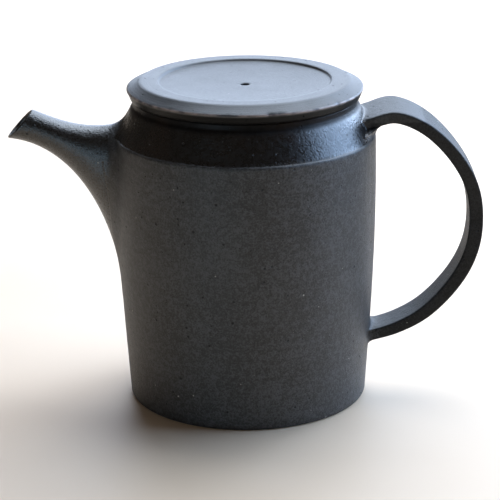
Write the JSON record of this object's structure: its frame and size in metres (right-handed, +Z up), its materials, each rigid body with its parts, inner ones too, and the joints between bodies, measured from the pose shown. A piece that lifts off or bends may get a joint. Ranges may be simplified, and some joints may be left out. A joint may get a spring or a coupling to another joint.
{
  "type": "teapot",
  "caption": "Straight-sided black stoneware teapot with a sloping shoulder, tall flared spout, flat strap handle and a flat lift-off lid.",
  "frame": {"origin": "centre of the flat base, on the surface the pot stands on", "axes": "+Z up along the pot's axis, +X towards the handle, -X towards the spout"},
  "size_m": [0.1851, 0.1016, 0.1269],
  "materials": {
    "dark_stoneware": "unglazed black stoneware, satin, sandy grain with pale specks",
    "inner_stoneware": "unglazed black stoneware, matte",
    "lid_stoneware": "black stoneware, smooth satin with faint turning rings"
  },
  "bodies": {
    "pot": {"pot_body": "dark_stoneware", "strainer": "inner_stoneware", "spout": "dark_stoneware", "spout_luting": "dark_stoneware", "handle": "dark_stoneware", "handle_top_luting": "dark_stoneware", "handle_foot_luting": "dark_stoneware"},
    "lid": {"lid_disc": "lid_stoneware", "lid_flange": "inner_stoneware"}
  },
  "joints": [
    {"name": "lid_lift", "type": "slide", "parent": "pot", "child": "lid", "axis": [0, 0, 1], "range_m": [0, 0.05]}
  ]
}
